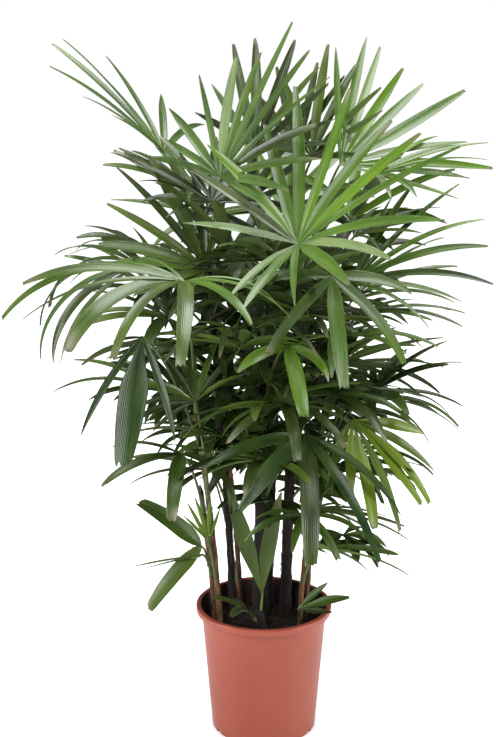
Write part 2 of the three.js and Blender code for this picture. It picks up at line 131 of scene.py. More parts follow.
def readAttribute(tree, name, kind="FLOAT"):
    return addNode(tree, "GeometryNodeInputNamedAttribute", {"Name": name}, data_type=kind).outputs[0]


def newTree(name, sizes):
    # a node tree with a named input for each size
    tree = bpy.data.node_groups.new(name, "GeometryNodeTree")
    sockets = tree.interface
    sockets.new_socket("Geometry", in_out="INPUT", socket_type="NodeSocketGeometry")
    for socket, value in sizes.items():
        kind = "NodeSocketInt" if isinstance(value, int) else "NodeSocketFloat"
        sockets.new_socket(socket, in_out="INPUT", socket_type=kind).default_value = value
    sockets.new_socket("Geometry", in_out="OUTPUT", socket_type="NodeSocketGeometry")
    return tree, tree.nodes.new("NodeGroupInput").outputs, tree.nodes.new("NodeGroupOutput").inputs


def linesMesh(name, lines):
    # each line is a list of dictionaries: "place" in millimetres, and a value for each attribute
    points, edges = [], []
    for line in lines:
        edges += [(k, k + 1) for k in range(len(points), len(points) + len(line) - 1)]
        points += line
    mesh = bpy.data.meshes.new(name)
    mesh.from_pydata([point["place"] * mm for point in points], edges, [])
    for attribute in [key for key in points[0] if key != "place"]:
        values = [point[attribute] for point in points]
        if isinstance(values[0], Vector):
            layer = mesh.attributes.new(attribute, "FLOAT_VECTOR", "POINT")
            layer.data.foreach_set("vector", [x for vector in values for x in vector])
        else:
            layer = mesh.attributes.new(attribute, "FLOAT", "POINT")
            layer.data.foreach_set("value", values)
    return mesh


def grow(name, mesh, tree, sizes, keep=()):
    # runs a node tree on a mesh and leaves one plain mesh, with the attributes in keep
    piece = newObject(name, mesh)
    modifier = piece.modifiers.new(name, "NODES")
    modifier.node_group = tree
    for item in tree.interface.items_tree:
        if item.in_out == "INPUT" and item.name in sizes:
            modifier[item.identifier] = sizes[item.name]
    graph = bpy.context.evaluated_depsgraph_get()
    evaluated = piece.evaluated_get(graph)
    result = bpy.data.meshes.new_from_object(evaluated, preserve_all_data_layers=True, depsgraph=graph)
    piece.modifiers.clear()
    piece.data = result
    needed = ("position", "material_index", "sharp_face", *keep)
    layers = [a for a in result.attributes if a.domain in ("POINT", "FACE") and not a.is_internal]
    for layer in [a.name for a in layers if a.name not in needed]:
        result.attributes.remove(result.attributes[layer])
    result.name = name
    print(name, len(result.polygons), "faces")
    return piece


def newMaterial(name, colour, roughness, **sockets):
    material = bpy.data.materials.new(name)
    material.use_nodes = True
    material.diffuse_color = colour
    tree = material.node_tree
    shader = tree.nodes["Principled BSDF"]
    shader.inputs["Base Color"].default_value = colour
    shader.inputs["Roughness"].default_value = roughness
    for socket, value in sockets.items():
        shader.inputs[socket].default_value = value
    return material, tree, shader


def colourNoise(tree, vector, scale, detail, low, high, spread=(0.3, 0.7)):
    # noise between two colours
    noise = addNode(tree, "ShaderNodeTexNoise", {"Vector": vector, "Scale": scale, "Detail": detail})
    ramp = addNode(tree, "ShaderNodeValToRGB", {"Fac": noise.outputs["Fac"]})
    for stop, position, colour in zip(ramp.color_ramp.elements, spread, (low, high)):
        stop.position, stop.color = position, colour
    return ramp.outputs["Color"], noise.outputs["Fac"]


def bump(tree, shader, height, strength, distance):
    sizes = {"Height": height, "Strength": strength, "Distance": distance}
    tree.links.new(addNode(tree, "ShaderNodeBump", sizes).outputs["Normal"], shader.inputs["Normal"])


# colour, roughness, scale and detail of the patches, the two colours they run between and, where
# the pattern is raised too, its strength and depth
mottles = {
    # painted shade for the inside of the pot wall
    "paintedShadePlastic": (rgb(40, 18, 16), 0.8, 30, 4, rgb(22, 13, 12), rgb(58, 24, 20)),
    "pottingMix": (rgb(38, 28, 22), 0.92, 160, 5, rgb(14, 10, 8), rgb(42, 31, 23), (0.7, 0.004)),
    "barkChip": (rgb(62, 44, 32), 0.9, 70, 3, rgb(24, 17, 13), rgb(64, 47, 34), (0.5, 0.002)),
    "looseFibre": (rgb(74, 54, 40), 0.85, 60, 2, rgb(44, 32, 25), rgb(112, 84, 62)),
    "dryTip": (rgb(128, 122, 84), 0.8, 180, 3, rgb(98, 92, 56), rgb(150, 144, 108)),
    "petioleGreen": (rgb(84, 104, 48), 0.5, 16, 3, rgb(62, 70, 36), rgb(96, 120, 56)),
}


def mottledMaterial(name):
    colour, roughness, scale, detail, low, high, *grain = mottles[name]
    material, tree, shader = newMaterial(name, colour, roughness)
    patches, height = colourNoise(tree, objectPlace(tree), scale, detail, low, high)
    tree.links.new(patches, shader.inputs["Base Color"])
    for strength, depth in grain:
        bump(tree, shader, height, strength, depth)
    return material


view = {"focalPixels": 1583.6, "longSide": 737, "pitch": 15.3, "place": (-28.2, -2600, 1373)}
light = {"sky": 0.06, "sheen": 0.1, "bounce": 0.35, "noGlint": "backLight"}
# place, aim and size in metres, power in watts
softboxes = {
    "topLight": ((0.2, 0.2, 3.0), (0, 0, 0.8), (2.4, 1.8), 86),
    "keyLight": ((-0.8, -2.5, 2.7), (0, 0, 0.5), (1.5, 1.5), 54),
    "leftLight": ((-2.3, -0.9, 1.0), (0, 0, 0.4), (0.7, 1.8), 44),
    "rightLight": ((2.3, -0.9, 1.0), (0, 0, 0.4), (0.7, 1.8), 44),
    "backLight": ((0.5, 2.8, 1.8), (0, 0, 0.6), (2.0, 1.6), 20),
}
floorSizes = {"half": 9, "glow": (0.12, 1.4), "least": 0.6, "dark": (0.086, 0.098)}


def makeCamera():
    data = bpy.data.cameras.new("camera")
    data.sensor_width = 36
    data.lens = view["focalPixels"] * data.sensor_width / view["longSide"]
    data.clip_end = 50
    camera = newObject("camera", data)
    camera.location = Vector(view["place"]) * mm
    camera.rotation_euler = (math.radians(90 - view["pitch"]), 0, 0)
    scene.camera = camera


def makeSoftbox(name, place, aim, size, power):
    data = bpy.data.lights.new(name, "AREA")
    data.shape = "RECTANGLE"
    data.size, data.size_y = size
    data.energy = power
    lamp = newObject(name, data)
    lamp.location = place
    lamp.rotation_euler = (Vector(aim) - Vector(place)).to_track_quat("-Z", "Y").to_euler()
    return lamp


def makeLight():
    world = bpy.data.worlds.new("studio")
    scene.world = world
    world.use_nodes = True
    tree = world.node_tree
    tree.nodes.clear()
    seen = addNode(tree, "ShaderNodeBackground", {"Color": (1, 1, 1, 1), "Strength": 1.0})
    path = addNode(tree, "ShaderNodeLightPath")
    # the white studio shows brighter in the shine of the leaves than it lights them
    glossy = path.outputs["Is Glossy Ray"]
    shine = calc(tree, "MULTIPLY_ADD", glossy, light["sheen"] - light["sky"], light["sky"])
    soft = addNode(tree, "ShaderNodeBackground", {"Color": (1, 1, 1, 1), "Strength": shine})
    both = addNode(tree, "ShaderNodeMixShader", {0: path.outputs["Is Camera Ray"], 1: soft, 2: seen})
    addNode(tree, "ShaderNodeOutputWorld", {"Surface": both})
    for name, softbox in softboxes.items():
        lamp = makeSoftbox(name, *softbox)
        lamp.visible_glossy = name != light["noGlint"]  # else the far edges of the leaves glint
    scene.view_settings.view_transform = "Standard"


def makeFloor():
    mesh = bpy.data.meshes.new("floor")
    half = floorSizes["half"]
    corners = [(-half, -half, 0), (half, -half, 0), (half, half, 0), (-half, half, 0)]
    mesh.from_pydata(corners, [], [(0, 1, 2, 3)])
    floor = newObject("floor", mesh)
    glowing = {"Emission Color": (1, 1, 1, 1)}
    material, tree, shader = newMaterial("paleFloor", (0.85, 0.85, 0.85, 1), 0.8, **glowing)
    length = addNode(tree, "ShaderNodeVectorMath", {0: objectPlace(tree)}, operation="LENGTH")
    reach = length.outputs["Value"]
    # the floor brightens outwards into the white sweep, and is dark under the pot, where the drain
    # notches look in
    glow = remap(tree, reach, *floorSizes["glow"], floorSizes["least"], 1.0)
    clear = remap(tree, reach, *floorSizes["dark"])
    seen = addNode(tree, "ShaderNodeLightPath").outputs["Is Camera Ray"]
    share = calc(tree, "MULTIPLY_ADD", seen, 1 - light["bounce"], light["bounce"])
    strength = calc(tree, "MULTIPLY", calc(tree, "MULTIPLY", glow, share), clear)
    tree.links.new(strength, shader.inputs["Emission Strength"])
    mesh.materials.append(material)


makeCamera()
makeLight()
makeFloor()
print("camera, light and floor")


potSizes = {
    "height": 232, "baseRadius": 92, "collarRadius": 110, "rimRadius": 120, "mouthRadius": 111.5,
    "wall": 2.6, "floor": 3, "rimHeight": 15, "segments": 144, "sharpFrom": 40,
}
potRounds = {"foot": 2.4, "neck": 1.2, "skirt": 4.8, "lip": 3.4, "mouth": 2.4}
drainSizes = {"count": 12, "width": 13, "height": 6, "depth": 4.5}
plasticFinish = {"shade": (9, 3), "smears": (0.32, 0.46), "speckle": (0.12, 0.0004)}
collarHeight = potSizes["height"] - potSizes["rimHeight"]


def potRadius(z):
    return mix(potSizes["baseRadius"], potSizes["collarRadius"], z / collarHeight)


def arcPoints(centre, radius, start, end, steps):
    # quarter rounds of the rim and foot, in radius and height
    turns = [math.radians(mix(start, end, k / steps)) for k in range(steps + 1)]
    return [(centre[0] + radius * math.cos(t), centre[1] + radius * math.sin(t)) for t in turns]


def lathe(name, profile, segments):
    # turns a profile round Z: points on the axis become one vertex
    points, rings, faces = [], [], []
    for radius, height in profile:
        if radius < 1e-6:
            rings.append([len(points)] * segments)
            points.append(Vector((0, 0, height)) * mm)
            continue
        rings.append(list(range(len(points), len(points) + segments)))
        points += [around(2 * math.pi * k / segments, radius, height) * mm for k in range(segments)]
    for low, high in zip(rings, rings[1:]):
        for k in range(segments):
            n = (k + 1) % segments
            corners = [low[k], low[n], high[n], high[k]]
            faces.append([c for j, c in enumerate(corners) if c not in corners[:j]])
    mesh = bpy.data.meshes.new(name)
    mesh.from_pydata(points, [], [face for face in faces if len(face) > 2])
    return newObject(name, mesh)


def plasticMaterial():
    # shades a little from place to place, under a fine speckle and broad smears of shine
    material, tree, shader = newMaterial("terracottaPlastic", rgb(154, 66, 43), 0.36, **{
        "Specular IOR Level": 0.6, "Sheen Weight": 0.12, "Sheen Roughness": 0.35,
        "Sheen Tint": rgb(250, 226, 220)})
    place = objectPlace(tree)
    colour, _ = colourNoise(tree, place, *plasticFinish["shade"], rgb(149, 62, 40), rgb(159, 70, 46))
    tree.links.new(colour, shader.inputs["Base Color"])
    speckle = addNode(tree, "ShaderNodeTexNoise", {"Vector": place, "Scale": 900, "Detail": 2})
    smear = addNode(tree, "ShaderNodeTexNoise", {"Vector": place, "Scale": 14, "Detail": 4})
    rough = remap(tree, smear.outputs["Fac"], 0, 1, *plasticFinish["smears"])
    tree.links.new(rough, shader.inputs["Roughness"])
    bump(tree, shader, speckle.outputs["Fac"], *plasticFinish["speckle"])
    return material


def potProfile():
    # radius and height, from the middle of the foot up the outside and down the inside
    height, rim, mouth = potSizes["height"], potSizes["rimRadius"], potSizes["mouthRadius"]
    wall, floor = potSizes["wall"], potSizes["floor"]
    foot, neck, skirt, lip, inner = potRounds.values()
    collar = potRadius(collarHeight)
    return [
        (0, 0), (potRadius(0) - 3, 0), *arcPoints((potRadius(0) - foot, foot), foot, -60, 0, 4),
        *[(potRadius(z), z) for z in (20, 70, 120, 170, collarHeight - 8)],
        (collar + 0.2, collarHeight - 1.5),
        *arcPoints((collar + 1.6, collarHeight - 0.6), neck, 180, 90, 3),
        *arcPoints((rim - 5, collarHeight + 5.4), skirt, -90, 0, 8),
        *arcPoints((rim - lip, height - lip), lip, 0, 90, 7),
        *arcPoints((mouth + inner, height - inner), inner, 90, 180, 6),
        (mouth, height - 6), (collar - wall + 0.6, collarHeight - 3),
        *[(potRadius(z) - wall, z) for z in (collarHeight - 12, 150, 80, floor + 3)],
        (potRadius(floor) - wall - 3, floor), (0, floor),
    ]


def makePot():
    pot = lathe("pot_body", potProfile(), potSizes["segments"])
    cutters = bpy.data.collections.new("drainCutters")
    for i in range(drainSizes["count"]):
        turn = 2 * math.pi * i / drainSizes["count"]
        bpy.ops.mesh.primitive_cube_add(size=1)
        tool = bpy.context.object
        tool.scale = Vector((drainSizes["depth"] * 2, drainSizes["width"], drainSizes["height"] * 2)) * mm
        tool.location = Matrix.Rotation(turn, 3, "Z") @ Vector((potSizes["baseRadius"], 0, 0)) * mm
        tool.rotation_euler = (0, 0, turn)
        cutters.objects.link(tool)
    cut = pot.modifiers.new("drains", "BOOLEAN")
    cut.operand_type, cut.collection = "COLLECTION", cutters
    cut.operation, cut.solver = "DIFFERENCE", "EXACT"
    graph = bpy.context.evaluated_depsgraph_get()
    shell = bpy.data.meshes.new_from_object(pot.evaluated_get(graph))
    pot.modifiers.clear()
    pot.data = shell
    for tool in list(cutters.objects):
        bpy.data.objects.remove(tool)
    bpy.data.collections.remove(cutters)
    shell.materials.clear()
    shell.materials.append(plasticMaterial())
    shell.materials.append(mottledMaterial("paintedShadePlastic"))
    floor, lip = potSizes["floor"], potSizes["height"] - 2
    for face in shell.polygons:
        # painted shade: the inside of the wall, above the floor and below the lip, is dark for the shade
        # inside the pot
        inwards = -face.normal.xy.dot(face.center.xy.normalized())
        face.material_index = int(inwards > 0.3 and floor < face.center.z / mm < lip)
    shell.shade_smooth()
    shell.set_sharp_from_angle(angle=math.radians(potSizes["sharpFrom"]))
    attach(pot, "root")
    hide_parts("pot")
    print("pot", len(shell.polygons), "faces")


makePot()


soilSizes = {
    "top": 190, "crown": 2, "bottom": 3.3, "edge": 1.5, "rings": 26, "segments": 96,
    "lumps": 3.2, "swing": 0.5, "sunk": 0.3,
}
chipSizes = {"Density": 30000.0, "Chip Size": 0.007, "Seed": 4}
# least and most turn and scale of a chip, each with its seed
chipRanges = {
    "Rotation": {"Min": (0, 0, 0), "Max": (6.28, 6.28, 6.28), "Seed": 11},
    "Scale": {"Min": (0.2, 0.25, 0.12), "Max": (0.9, 0.6, 0.4), "Seed": 12},
}
chipBed = {"edge": 8, "corners": 24, "under": 1.5}
caneFoot = soilSizes["top"] + soilSizes["crown"] + 0.3


def soilEdge(z):
    return potRadius(z) - potSizes["wall"] - soilSizes["edge"]


def makeSoil():
    top, crown, bottom = soilSizes["top"], soilSizes["crown"], soilSizes["bottom"]
    profile = [(0, bottom), (soilEdge(bottom), bottom)]
    profile += [(soilEdge(z), z) for z in (60, 120, 170, top - 3)]
    rings = soilSizes["rings"]
    for k in range(rings):
        radius = (soilEdge(top) - 3) * (1 - (k + 0.5) / rings)
        profile.append((radius, top + crown * min(1, k / 6)))
    profile.append((0, top + crown))
    soil = lathe("soil_bed", profile, soilSizes["segments"])
    for i, vertex in enumerate(soil.data.vertices):
        if vertex.co.z > (top - 1) * mm:
            lump = wobble(1, i, 1) * soilSizes["swing"] - soilSizes["sunk"]
            vertex.co.z += soilSizes["lumps"] * mm * lump
    soil.data.materials.append(mottledMaterial("pottingMix"))
    soil.data.shade_smooth()
    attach(soil, "root")
    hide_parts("soil")
    print("soil_bed", len(soil.data.polygons), "faces")


def chipTree(material):
    tree, inputs, output = newTree("barkChips", chipSizes)
    spots = addNode(tree, "GeometryNodeDistributePointsOnFaces", {
        "Mesh": inputs["Geometry"], "Density": inputs["Density"], "Seed": inputs["Seed"]})
    chip = addNode(tree, "GeometryNodeMeshIcoSphere", {"Radius": inputs["Chip Size"], "Subdivisions": 1})
    uneven = {
        socket: addNode(tree, "FunctionNodeRandomValue", limits, data_type="FLOAT_VECTOR")
        for socket, limits in chipRanges.items()}
    chips = addNode(tree, "GeometryNodeInstanceOnPoints", {
        "Points": spots.outputs["Points"], "Instance": chip.outputs["Mesh"], **uneven})
    real = addNode(tree, "GeometryNodeRealizeInstances", {"Geometry": chips})
    done = addNode(tree, "GeometryNodeSetMaterial", {"Geometry": real, "Material": material})
    tree.links.new(done.outputs[0], output[0])
    return tree


def makeChips():
    # a thin disc to scatter the chips over, just under the surface of the mix
    radius, corners = soilEdge(soilSizes["top"]) - chipBed["edge"], chipBed["corners"]
    height = caneFoot - chipBed["under"]
    disc = bpy.data.meshes.new("chipDisc")
    ring = [around(k / corners * math.tau, radius, height) * mm for k in range(corners)]
    disc.from_pydata(ring, [], [list(range(corners))])
    tree = chipTree(mottledMaterial("barkChip"))
    chips = grow("soil_chips", disc, tree, chipSizes)
    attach(chips, "root")


makeSoil()
makeChips()


# foot on the potting mix, top, and the radius at both ends
caneRows = {
    "centre": ((-8, -15), (10, 0, 900), (15, 9)),
    "left": ((-55, 20), (-100, 40, 850), (7.5, 6)),
    "right": ((39, 28), (60, 40, 820), (11.5, 8)),
    "left_front": ((-78, -28), (-120, -50, 640), (6, 5)),
    "left_low": ((-88, 12), (-112, 6, 450), (5.4, 4.4)),
    "right_front": ((62, -42), (80, -75, 480), (4.6, 4)),
    "back": ((8, 76), (30, 125, 780), (10, 7)),
    "back_left": ((-42, 68), (-80, 135, 620), (5.5, 4.5)),
    "right_low": ((76, 36), (115, 70, 650), (6, 5)),
    "stump": ((-5, -72), (-8, -80, 252), (11, 8)),
}
canes = {name: dict(zip(("foot", "top", "radius"), row)) for name, row in caneRows.items()}
caneSizes = {
    "flareShare": 0.2, "flareHeight": 18, "lean": 1.4, "step": 3, "youngBelow": 6.5,
    "sheath": 42, "slim": 0.86, "flap": 0.1, "tip": 0.35, "tipHeight": 14,
}
caneRelief = {"Sides": 28, "Relief": 0.0022, "Grain": 260.0}
# scale and detail of the streaks, and the strength and depth of the fibre
caneFinish = {"stretch": (1, 1, 0.12), "old": (420, 6), "young": (300, 5), "raised": (0.9, 0.003)}
fibreSizes = {
    "perMetre": 66, "least": 10, "radius": 0.45, "taper": 0.6, "rise": 70, "turn": 1.1, "steps": 9,
    "low": 4, "high": 40, "end": 3, "lift": 1.06, "fray": 0.22, "frayFrom": 0.6,
}


def canePoint(cane, z):
    foot, top = cane["foot"], cane["top"]
    share = max(0, (z - caneFoot) / (top[2] - caneFoot)) ** caneSizes["lean"]
    return Vector((mix(foot[0], top[0], share), mix(foot[1], top[1], share), z))


def caneRadius(cane, z):
    foot, top = cane["radius"]
    share = (z - caneFoot) / (cane["top"][2] - caneFoot)
    flare = caneSizes["flareShare"] * foot * math.exp((caneFoot - z) / caneSizes["flareHeight"])
    return mix(foot, top, share) + flare


def sheathShare(z, seed):
    # 0 at the foot of a sheath to 1 where its torn edge ends
    return ((z - caneFoot) / caneSizes["sheath"] + 0.5 * wobble(seed, 1, 1)) % 1


def caneLines():
    lines = []
    for seed, cane in enumerate(canes.values()):
        top = cane["top"][2]
        young = float(cane["radius"][0] < caneSizes["youngBelow"])
        steps = int((top - caneFoot) / caneSizes["step"])
        line = []
        for k in range(steps + 1):
            z = mix(caneFoot, top, k / steps)
            swell = caneSizes["slim"] + caneSizes["flap"] * sheathShare(z, seed) ** 2
            closing = min(1, caneSizes["tip"] + (top - z) / caneSizes["tipHeight"])
            radius = caneRadius(cane, z) * swell * closing
            line.append({"place": canePoint(cane, z), "radius": radius * mm, "young": young})
        lines.append(line)
    return lines


def caneMaterial():
    # coarse dark fibre: long streaks that follow the cane, redder on the young ones
    material, tree, shader = newMaterial("caneFibre", rgb(28, 21, 18), 0.88)
    stretch = {"Vector": objectPlace(tree), "Scale": caneFinish["stretch"]}
    place = addNode(tree, "ShaderNodeMapping", stretch)
    darkShades = (rgb(8, 6, 5), rgb(40, 28, 22), (0.35, 0.8))
    redShades = (rgb(46, 27, 20), rgb(150, 104, 72), (0.35, 0.75))
    old, streaks = colourNoise(tree, place, *caneFinish["old"], *darkShades)
    young, _ = colourNoise(tree, place, *caneFinish["young"], *redShades)
    share = addNode(tree, "ShaderNodeAttribute", attribute_name="young").outputs["Fac"]
    tree.links.new(mixNode(tree, share, old, young), shader.inputs["Base Color"])
    bump(tree, shader, streaks, *caneFinish["raised"])
    return material


def tubeTree(name, material):
    # round tubes along the lines, with the grain raised where the piece asks for relief
    tree, inputs, output = newTree(name, {"Sides": 12, "Relief": 0.0, "Grain": 300.0})
    line = addNode(tree, "GeometryNodeMeshToCurve", {"Mesh": inputs["Geometry"]})
    circle = {"Resolution": inputs["Sides"], "Radius": 1.0}
    ring = addNode(tree, "GeometryNodeCurvePrimitiveCircle", circle)
    tube = addNode(tree, "GeometryNodeCurveToMesh", {
        "Curve": line, "Profile Curve": ring, "Scale": readAttribute(tree, "radius"), "Fill Caps": True})
    place = addNode(tree, "GeometryNodeInputPosition")
    stretched = calcVector(tree, "MULTIPLY", place, (1, 1, 0.15))
    grain = {"Vector": stretched, "Scale": inputs["Grain"], "Detail": 3.0}
    noise = addNode(tree, "ShaderNodeTexNoise", grain).outputs["Fac"]
    height = calc(tree, "MULTIPLY", calc(tree, "SUBTRACT", noise, 0.5), inputs["Relief"])
    out = calcVector(tree, "SCALE", addNode(tree, "GeometryNodeInputNormal"), scale=height)
    moved = addNode(tree, "GeometryNodeSetPosition", {"Geometry": tube, "Offset": out})
    real = addNode(tree, "GeometryNodeRealizeInstances", {"Geometry": moved})
    smooth = addNode(tree, "GeometryNodeSetShadeSmooth", {"Geometry": real})
    done = addNode(tree, "GeometryNodeSetMaterial", {"Geometry": smooth, "Material": material})
    tree.links.new(done.outputs[0], output[0])
    return tree


def fibreLines():
    # loose strands that cross over one another round each cane
    lines, sizes = [], fibreSizes
    for seed, cane in enumerate(canes.values()):
        top = cane["top"][2]
        count = max(sizes["least"], int(sizes["perMetre"] * (top - caneFoot) * mm))
        for i in range(count):
            share = (i + 0.5 * wobble(seed, i, 11) + 0.5) / count
            low = mix(caneFoot + sizes["low"], top - sizes["high"], share)
            rise = sizes["rise"] * (0.6 + 0.4 * wobble(seed, i, 12))
            start = math.pi * wobble(seed, i, 13)
            turn = sizes["turn"] * wobble(seed, i, 14)
            fray = sizes["fray"] * (1 + wobble(seed, i, 15))
            line = []
            for k in range(sizes["steps"] + 1):
                s = k / sizes["steps"]
                z = min(low + rise * s, top - sizes["end"])
                lift = sizes["lift"] + fray * max(0, s - sizes["frayFrom"])
                out = around(start + turn * s, 1, 0)
                place = canePoint(cane, z) + out * caneRadius(cane, z) * lift
                line.append({"place": place, "radius": sizes["radius"] * mm * (1 - sizes["taper"] * s)})
            lines.append(line)
    return lines


def makeCanes():
    tree = tubeTree("caneTube", caneMaterial())
    stems = grow("canes", linesMesh("canes", caneLines()), tree, caneRelief, ("young",))
    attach(stems, "root")
    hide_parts(*["cane_" + name for name in canes])
    tree = tubeTree("fibreTube", mottledMaterial("looseFibre"))
    strands = grow("cane_fibres", linesMesh("fibres", fibreLines()), tree, {"Sides": 4})
    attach(strands, "root")


makeCanes()


# name, cane and height each leaf leaves it at, hub, aim, rise, roll, leaflets, spread, reach,
# width, droop, cup, tone and, where it isn't the usual share, how much slimmer the outer ones are
leafRows = [
    ("front_fan", "centre", 720, (49, -190, 913), 5, 24, 26, 15, 285, 272, 20, 16, 25, "fresh"),
    ("left_arch", "left_front", 600, (-126, -230, 863), -125, -8, -3, 10, 235, 252, 25, 58, 14, "soft",
     0.65),
    ("top_centre", "centre", 860, (-73, -60, 998), 27, 57, 10, 13, 190, 248, 18, 10, 6, "grey"),
    ("top_right", "right", 780, (124, 20, 1006), 55, 10, 45, 10, 115, 280, 19, 3, 20, "fresh"),
    ("top_left", "left", 800, (-169, 60, 1022), 160, 30, 6, 8, 145, 264, 16, 18, 17, "grey"),
    ("left_broad", "left_front", 520, (-194, -190, 766), -98, -55, -12, 3, 66, 225, 50, 35, 4, "glossy",
     0.75),
    ("front_broad", "right_front", 440, (64, -160, 596), -95, -25, -18, 5, 118, 250, 33, 44, 5, "glossy"),
    ("pale_right", "right_front", 462, (144, -100, 601), -45, -50, 4, 8, 128, 192, 25, 24, 10, "young"),
    ("far_left", "left", 590, (-211, 30, 835), -190, -3, -23, 8, 105, 278, 18, 68, 4, "grey"),
    ("top_back", "back", 740, (57, 150, 1014), 60, 50, -10, 8, 190, 175, 20, 4, 24, "dark"),
    ("left_upper", "left", 720, (-96, -40, 842), -173, 35, -50, 9, 140, 205, 21, 12, 12, "mid"),
    ("right_up", "right", 670, (146, -10, 813), 0, 24, 40, 8, 98, 236, 12, 30, 14, "fresh"),
    ("right_low", "right_low", 440, (139, 20, 596), -15, 0, -5, 8, 160, 232, 14, 51, 15, "mid"),
    ("right_dark", "right", 560, (124, -20, 673), -3, -4, -50, 10, 140, 175, 14, 34, 13, "dark"),
    ("right_mid", "right", 610, (139, 60, 736), -12, 10, -5, 8, 120, 200, 14, 37, 8, "mid"),
    ("mid_left", "left_front", 440, (-114, -140, 644), 115, 18, -30, 9, 190, 128, 16, 38, 16, "dark"),
    ("low_left", "left_low", 400, (-138, -120, 548), -88, -12, -4, 5, 230, 168, 26, 76, 12, "mid", 0.6),
    ("left_dark", "left", 650, (-113, 130, 809), 145, 1, 13, 8, 125, 240, 15, 40, 17, "dark"),
    ("sucker_left", "left_low", 280, (-108, -60, 362), -178, -6, -50, 2, 84, 190, 15, 16, 4, "olive", -1),
    ("sucker_young", "left_front", 250, (-97, -45, 364), 235, 76, 38, 5, 60, 87, 9, 6, 10, "young"),
    ("vee", "stump", 232, (-4, -85, 284), 130, 82, -60, 2, 23, 300, 33, 5, 8, "moss", 0.1),
    ("hanger", "right", 720, (104, -170, 858), -92, -52, 0, 5, 180, 195, 26, 35, 7, "mid"),
    ("front_stub", "centre", 600, (34, -200, 752), -80, -30, 0, 3, 130, 130, 24, 75, 6, "bright"),
    ("low_right", "right_front", 290, (91, -90, 371), -12, -22, -10, 6, 155, 154, 20, 28, 22, "mid"),
    ("low_right_back", "right_low", 290, (95, 20, 402), -8, -16, -30, 6, 145, 158, 14, 24, 10, "dark"),
    ("inner_upper", "centre", 640, (-45, -120, 760), -60, 10, 0, 7, 210, 190, 19, 48, 14, "dark"),
    ("pale_fan", "right_front", 350, (66, -130, 445), -90, -10, 0, 6, 220, 120, 17, 60, 10, "mid"),
    ("pot_side", "right_front", 222, (58, -70, 250), 0, 16, 40, 3, 50, 86, 20, 8, 10, "deep"),
    ("pot_front", "stump", 216, (-32, -100, 262), -160, 20, 0, 4, 170, 70, 16, 30, 10, "deep"),
    ("inner_front", "centre", 500, (-5, -120, 630), -45, 15, 0, 8, 250, 190, 18, 38, 14, "dark"),
    ("inner_left", "centre", 430, (-65, -70, 560), -120, 10, 0, 7, 240, 165, 18, 40, 14, "dark"),
    ("inner_right", "centre", 410, (45, -80, 535), -30, 5, 0, 7, 240, 175, 18, 45, 14, "dark"),
]

# smaller leaves that share the sheath of the leaf named first
guestRows = [
    ("left_upper", (-64, -60, 797), -100, 12, -8, 8, 230, 185, 19, 45, 12, "dark"),
    ("inner_upper", (10, -60, 860), -70, 25, 0, 8, 220, 185, 18, 35, 12, "deep"),
    ("right_mid", (118, -70, 735), -60, 5, 0, 7, 200, 180, 18, 50, 12, "mid"),
    ("inner_front", (-2, -175, 555), -95, 5, 0, 7, 220, 165, 20, 55, 12, "dark"),
    ("right_low", (120, -45, 530), -40, 0, 0, 7, 190, 170, 16, 48, 12, "dark"),
    ("left_dark", (-55, 60, 740), 120, 10, 0, 8, 230, 180, 17, 42, 12, "deep"),
    ("far_left", (-160, -40, 760), 190, 8, -10, 7, 180, 175, 21, 48, 12, "mid"),
    ("right_up", (150, 30, 885), 15, 12, 5, 7, 150, 150, 16, 32, 14, "mid"),
    ("top_centre", (-15, 40, 1030), 40, 60, 20, 9, 150, 185, 16, 6, 10, "dark"),
    ("top_back", (80, 85, 1010), 50, 55, 0, 8, 170, 190, 17, 5, 10, "mid"),
    ("top_left", (-125, 20, 960), 175, 20, 0, 8, 170, 165, 17, 24, 14, "mid"),
    ("inner_upper", (-35, -40, 810), -110, 20, 0, 8, 230, 175, 18, 45, 14, "deep"),
    ("hanger", (70, -110, 770), -80, 10, 0, 7, 210, 180, 17, 50, 12, "deep"),
    ("front_stub", (28, -150, 640), -85, 0, 0, 7, 200, 165, 20, 55, 10, "dark"),
    ("left_upper", (-95, 5, 690), -140, 5, 0, 8, 230, 170, 16, 42, 14, "deep"),
    ("right_dark", (112, -80, 640), -60, -5, 0, 7, 200, 165, 17, 45, 12, "dark"),
    ("inner_left", (-36, -120, 545), -110, 0, 0, 7, 210, 150, 19, 50, 12, "deep"),
    ("top_right", (182, 20, 990), -8, 10, 12, 8, 140, 182, 15, 30, 12, "fresh"),
    ("top_left", (-87, -20, 950), 120, 35, 0, 8, 200, 160, 17, 24, 14, "deep"),
    ("top_centre", (-25, 60, 941), 60, 45, 0, 8, 200, 170, 17, 20, 12, "deep"),
    ("sucker_left", (-112, -78, 352), -178, -14, 0, 2, 12, 150, 10, 8, 4, "olive"),
]

# far side of the clump, in storeys: height, distance out, first aim, step between aims, leaves,
# rise, reach, width, droop and tone
storeyKeys = ("height", "out", "from", "step", "leaves", "rise", "reach", "width", "droop", "tone")
storeyRows = [
    (420, 145, 35, 48, 3, 5, 175, 18, 40, "dark"),
    (575, 190, 22, 44, 4, 8, 210, 20, 50, "mid"),
    (735, 205, 40, 35, 4, 20, 225, 21, 45, "mid"),
    (890, 175, 30, 48, 3, 38, 215, 21, 28, "fresh"),
]
backStoreys = [dict(zip(storeyKeys, row)) for row in storeyRows]
backLeaf = {"count": 7, "spread": 200, "cup": 15}
backRule = {
    "roll": 12, "behind": 60, "petioleDrop": 160, "belowTop": 20, "stagger": 25,
    "canes": {"right_low": 60, "back": 115, "back_left": 360},  # each up to the aim named
}

